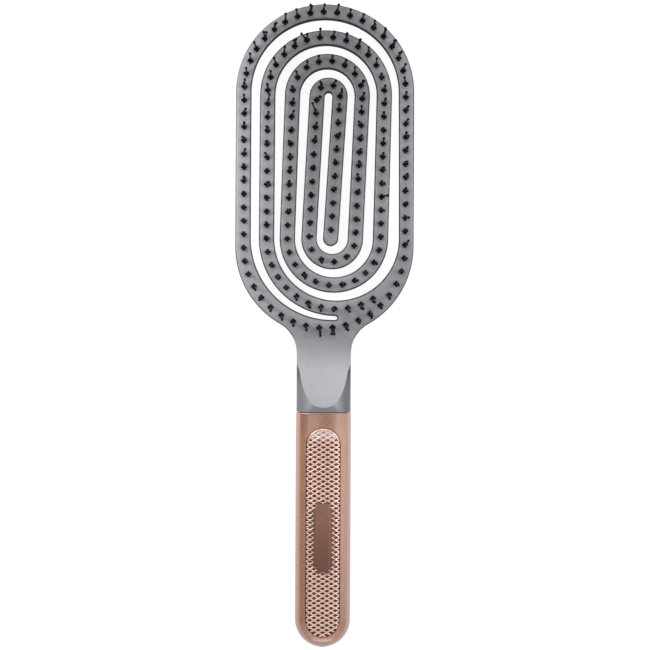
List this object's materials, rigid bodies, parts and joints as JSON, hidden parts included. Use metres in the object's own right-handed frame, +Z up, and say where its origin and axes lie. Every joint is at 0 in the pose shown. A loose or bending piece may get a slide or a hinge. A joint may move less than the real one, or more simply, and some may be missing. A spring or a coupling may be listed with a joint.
{
  "type": "pin styling brush",
  "caption": "Flat paddle hairbrush with a springy spiral head set with tufts of ball-tipped pins, on a satin metal handle with inlaid grip panels.",
  "frame": {"origin": "on the surface that the brush lies on, under the middle of its length and width", "axes": "+Y along the handle towards the head, +Z up, the way the pins point, +X to the right when the pins are seen from above with the head at the top"},
  "size_m": [0.068, 0.2449, 0.0203],
  "materials": {
    "grey_plastic": "soft satin grey moulding",
    "pin_nylon": "near-black nylon",
    "rose_metal": "satin rose-gold metallic coat",
    "inlay_metal": "satin bronze metallic coat with a fine diamond net"
  },
  "bodies": {
    "brush frame": {"head_frame": "grey_plastic", "handle_sleeve": "rose_metal", "grip_panel_front": "inlay_metal", "grip_panel_back": "inlay_metal", "rim_pins_1": "pin_nylon", "rim_pins_2": "pin_nylon", "rim_pins_3": "pin_nylon", "rim_pins_4": "pin_nylon", "rim_pins_5": "pin_nylon", "rim_pins_6": "pin_nylon", "rim_pins_7": "pin_nylon", "rim_pins_8": "pin_nylon", "rim_pins_9": "pin_nylon", "rim_pins_10": "pin_nylon", "rim_pins_11": "pin_nylon", "rim_pins_12": "pin_nylon"},
    "coil 1": {"coil_half_1": "grey_plastic", "coil_1_pins_1": "pin_nylon", "coil_1_pins_2": "pin_nylon", "coil_1_pins_3": "pin_nylon", "coil_1_pins_4": "pin_nylon", "coil_1_pins_5": "pin_nylon"},
    "coil 2": {"coil_half_2": "grey_plastic", "coil_2_pins_1": "pin_nylon", "coil_2_pins_2": "pin_nylon", "coil_2_pins_3": "pin_nylon", "coil_2_pins_4": "pin_nylon", "coil_2_pins_5": "pin_nylon"},
    "coil 3": {"coil_half_3": "grey_plastic", "coil_3_pins_1": "pin_nylon", "coil_3_pins_2": "pin_nylon", "coil_3_pins_3": "pin_nylon", "coil_3_pins_4": "pin_nylon", "coil_3_pins_5": "pin_nylon"},
    "coil 4": {"coil_half_4": "grey_plastic", "coil_4_pins_1": "pin_nylon", "coil_4_pins_2": "pin_nylon", "coil_4_pins_3": "pin_nylon", "coil_4_pins_4": "pin_nylon"},
    "coil 5": {"coil_half_5": "grey_plastic", "coil_5_pins_1": "pin_nylon", "coil_5_pins_2": "pin_nylon"},
    "coil 6": {"coil_half_6": "grey_plastic", "coil_6_pins_1": "pin_nylon"}
  },
  "joints": [
    {"name": "coil 1 flex", "type": "hinge", "parent": "brush frame", "child": "coil 1", "pos_m": [0.00137, 0.00625, 0.00507], "axis": [1, 0, 0], "range_deg": [-3, 3], "stiffness_Nm_per_rad": 0.5},
    {"name": "coil 2 flex", "type": "hinge", "parent": "coil 1", "child": "coil 2", "pos_m": [0.00046, 0.1092, 0.00368], "axis": [-1, 0, 0], "range_deg": [-3, 3], "stiffness_Nm_per_rad": 0.45},
    {"name": "coil 3 flex", "type": "hinge", "parent": "coil 2", "child": "coil 3", "pos_m": [0.0043, 0.01493, 0.00592], "axis": [1, 0, 0], "range_deg": [-3, 3], "stiffness_Nm_per_rad": 0.4},
    {"name": "coil 4 flex", "type": "hinge", "parent": "coil 3", "child": "coil 4", "pos_m": [0.00008, 0.10007, 0.00482], "axis": [-1, 0, 0], "range_deg": [-3, 3], "stiffness_Nm_per_rad": 0.35},
    {"name": "coil 5 flex", "type": "hinge", "parent": "coil 4", "child": "coil 5", "pos_m": [0.00133, 0.02393, 0.00662], "axis": [1, 0, 0], "range_deg": [-3, 3], "stiffness_Nm_per_rad": 0.3},
    {"name": "coil 6 flex", "type": "hinge", "parent": "coil 5", "child": "coil 6", "pos_m": [0.0007, 0.09093, 0.00576], "axis": [-1, 0, 0], "range_deg": [-3, 3], "stiffness_Nm_per_rad": 0.25}
  ]
}
